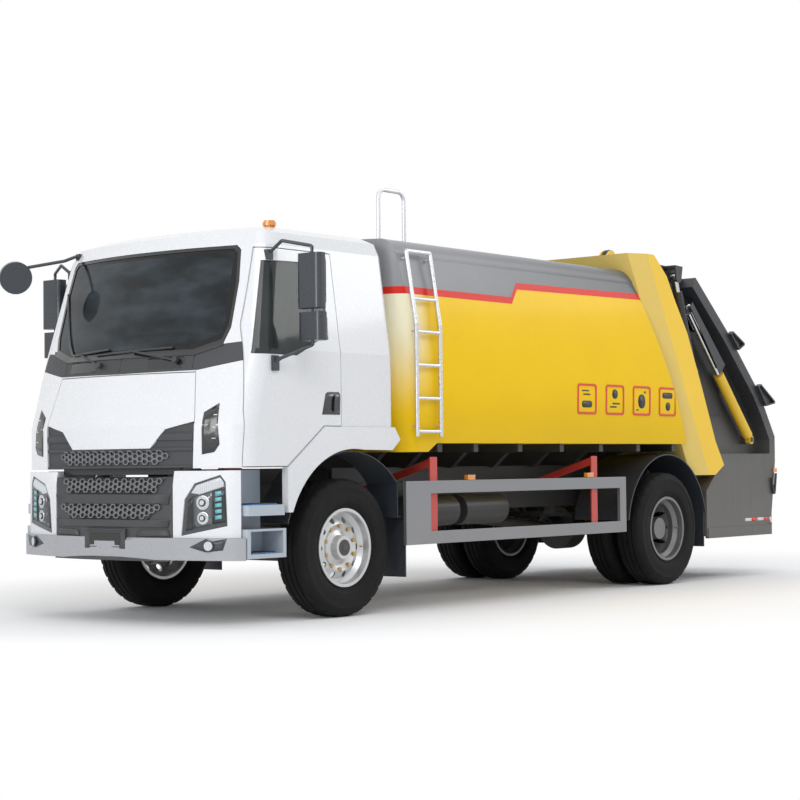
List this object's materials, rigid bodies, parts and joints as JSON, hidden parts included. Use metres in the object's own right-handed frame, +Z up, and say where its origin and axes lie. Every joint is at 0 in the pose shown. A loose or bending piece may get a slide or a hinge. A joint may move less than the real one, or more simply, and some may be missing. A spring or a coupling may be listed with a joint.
{
  "type": "garbage truck",
  "caption": "Two-axle cab-over refuse truck with a rear loading hopper, sliding packer carriage, swinging blade, lifting tailgate and bin lifter",
  "frame": {"origin": "on the ground under the middle of the length and width", "axes": "+Z up, -Y forward (the cab), +X the left side"},
  "size_m": [3.06, 8.35, 3.3668],
  "materials": {
    "tyre": "ribbed black rubber",
    "wheel_silver": "silver painted steel",
    "glass": "dark tinted",
    "cab_white": "gloss white",
    "body_yellow": "gloss yellow",
    "tail_black": "satin black",
    "rod_steel": "polished",
    "guard_silver": "brushed silver",
    "hanger_red": "gloss red",
    "lamp_clear": "clear lens",
    "lamp_amber": "amber lens",
    "trim_dark": "grained dark grey",
    "chassis_black": "satin black"
  },
  "bodies": {
    "chassis": {"chassis_frame": "chassis_black", "front_axle": "chassis_black", "rear_axle": "chassis_black", "driveline": "chassis_black", "fuel_tank": "guard_silver", "air_tanks": "chassis_black", "silencer": "chassis_black", "side_guards": "guard_silver", "guard_hangers": "hanger_red", "rear_mudguards": "trim_dark", "wheel_arches": "trim_dark", "bumper": "cab_white", "lower_grille": "trim_dark", "radiator": "chassis_black", "lamp_surrounds": "cab_white", "headlamps": "lamp_clear", "cab_steps": "trim_dark", "body_shell": "body_yellow", "front_shield": "body_yellow", "rear_frame": "body_yellow", "ladder": "chassis_black"},
    "cab": {"cab_shell": "cab_white", "windscreen": "glass", "cowl": "trim_dark", "cab_fenders": "cab_white", "cab_interior": "trim_dark", "front_mirror": "trim_dark", "roof_beacon": "lamp_amber"},
    "front_flap": {"cab_front_panel": "cab_white", "upper_grille": "trim_dark"},
    "left_door": {"door_l": "cab_white", "door_glass_l": "glass", "mirror_l": "trim_dark"},
    "right_door": {"door_r": "cab_white", "door_glass_r": "glass", "mirror_r": "trim_dark"},
    "left_knuckle": {"knuckle_l": "chassis_black"},
    "right_knuckle": {"knuckle_r": "chassis_black"},
    "wheel_fl": {"tyre_fl": "tyre", "rim_fl": "wheel_silver"},
    "wheel_fr": {"tyre_fr": "tyre", "rim_fr": "wheel_silver"},
    "wheel_rl": {"tyre_rl": "tyre", "rim_rl": "wheel_silver"},
    "wheel_rr": {"tyre_rr": "tyre", "rim_rr": "wheel_silver"},
    "ejector": {"ejector_plate": "tail_black"},
    "tailgate": {"tailgate_shell": "tail_black", "slide_barrels": "body_yellow"},
    "carriage": {"slide_carriage": "tail_black", "slide_guards": "tail_black", "slide_rods": "rod_steel"},
    "packer": {"packer_blade": "tail_black"},
    "packer_barrel": {"packer_barrels": "tail_black"},
    "packer_rod": {"packer_rods": "rod_steel"},
    "lift_barrel": {"lift_barrels": "tail_black"},
    "lift_rod": {"lift_rods": "rod_steel"},
    "lifter": {"bin_lifter": "tail_black"},
    "lifter_barrel": {"lifter_barrels": "tail_black"},
    "lifter_rod": {"lifter_rods": "rod_steel"}
  },
  "joints": [
    {"name": "cab_tilt", "type": "hinge", "parent": "chassis", "child": "cab", "pos_m": [0, -3.985, 0.8], "axis": [1, 0, 0], "range_deg": [0, 50]},
    {"name": "front_flap_hinge", "type": "hinge", "parent": "cab", "child": "front_flap", "pos_m": [0, -4.027, 1.838], "axis": [-1, 0, 0], "range_deg": [0, 60]},
    {"name": "door_left_hinge", "type": "hinge", "parent": "cab", "child": "left_door", "pos_m": [1.152, -3.915, 1.9], "axis": [0, 0, -1], "range_deg": [0, 70]},
    {"name": "door_right_hinge", "type": "hinge", "parent": "cab", "child": "right_door", "pos_m": [-1.152, -3.915, 1.9], "axis": [0, 0, 1], "range_deg": [0, 70]},
    {"name": "steer_left", "type": "hinge", "parent": "chassis", "child": "left_knuckle", "pos_m": [0.83, -2.735, 0.525], "axis": [0, 0, 1], "range_deg": [-35, 35]},
    {"name": "steer_right", "type": "hinge", "parent": "chassis", "child": "right_knuckle", "pos_m": [-0.83, -2.735, 0.525], "axis": [0, 0, 1], "range_deg": [-35, 35]},
    {"name": "wheel_spin_fl", "type": "hinge", "parent": "left_knuckle", "child": "wheel_fl", "pos_m": [0.99, -2.735, 0.525], "axis": [1, 0, 0], "continuous": true},
    {"name": "wheel_spin_fr", "type": "hinge", "parent": "right_knuckle", "child": "wheel_fr", "pos_m": [-0.99, -2.735, 0.525], "axis": [1, 0, 0], "continuous": true},
    {"name": "wheel_spin_rl", "type": "hinge", "parent": "chassis", "child": "wheel_rl", "pos_m": [0.91, 1.765, 0.525], "axis": [1, 0, 0], "continuous": true},
    {"name": "wheel_spin_rr", "type": "hinge", "parent": "chassis", "child": "wheel_rr", "pos_m": [-0.91, 1.765, 0.525], "axis": [1, 0, 0], "continuous": true},
    {"name": "ejector_push", "type": "slide", "parent": "chassis", "child": "ejector", "axis": [0, 1, 0], "range_m": [0, 2.7]},
    {"name": "tailgate_lift", "type": "hinge", "parent": "chassis", "child": "tailgate", "pos_m": [0, 1.575, 3.13], "axis": [1, 0, 0], "range_deg": [0, 75]},
    {"name": "carriage_slide", "type": "slide", "parent": "tailgate", "child": "carriage", "axis": [0, 0.6845, -0.729], "range_m": [0, 0.75]},
    {"name": "packer_swing", "type": "hinge", "parent": "carriage", "child": "packer", "pos_m": [0, 2.645, 2.24], "axis": [1, 0, 0], "range_deg": [0, 65]},
    {"name": "packer_barrel_swing", "type": "hinge", "parent": "carriage", "child": "packer_barrel", "pos_m": [0, 2.099, 2.894], "axis": [1, 0, 0], "range_deg": [0, 9.29]},
    {"name": "packer_rod_stroke", "type": "slide", "parent": "packer_barrel", "child": "packer_rod", "axis": [0, 0.7127, -0.7015], "range_m": [-0.1589, 0]},
    {"name": "lift_barrel_swing", "type": "hinge", "parent": "chassis", "child": "lift_barrel", "pos_m": [0, 2.355, 2.02], "axis": [1, 0, 0], "range_deg": [-6.49, 0]},
    {"name": "lift_rod_stroke", "type": "slide", "parent": "lift_barrel", "child": "lift_rod", "axis": [0, -0.3067, 0.9518], "range_m": [0, 0.6537]},
    {"name": "bin_lift", "type": "hinge", "parent": "tailgate", "child": "lifter", "pos_m": [0, 3.895, 1.12], "axis": [1, 0, 0], "range_deg": [0, 120]},
    {"name": "lifter_barrel_swing", "type": "hinge", "parent": "tailgate", "child": "lifter_barrel", "pos_m": [0, 3.825, 0.52], "axis": [1, 0, 0], "range_deg": [-1.19, 0]},
    {"name": "lifter_rod_stroke", "type": "slide", "parent": "lifter_barrel", "child": "lifter_rod", "axis": [0, 0.2973, 0.9548], "range_m": [0, 0.2979]}
  ],
  "couplings": [
    {"joint": "steer_right", "follows": "steer_left", "ratio": 1},
    {"joint": "packer_barrel_swing", "follows": "packer_swing", "ratio": 0.1383},
    {"joint": "packer_rod_stroke", "follows": "packer_swing", "m_per_rad": -0.1383},
    {"joint": "lift_barrel_swing", "follows": "tailgate_lift", "ratio": -0.0825},
    {"joint": "lift_rod_stroke", "follows": "tailgate_lift", "m_per_rad": 0.4979},
    {"joint": "lifter_barrel_swing", "follows": "bin_lift", "ratio": -0.0074},
    {"joint": "lifter_rod_stroke", "follows": "bin_lift", "m_per_rad": 0.1413}
  ]
}
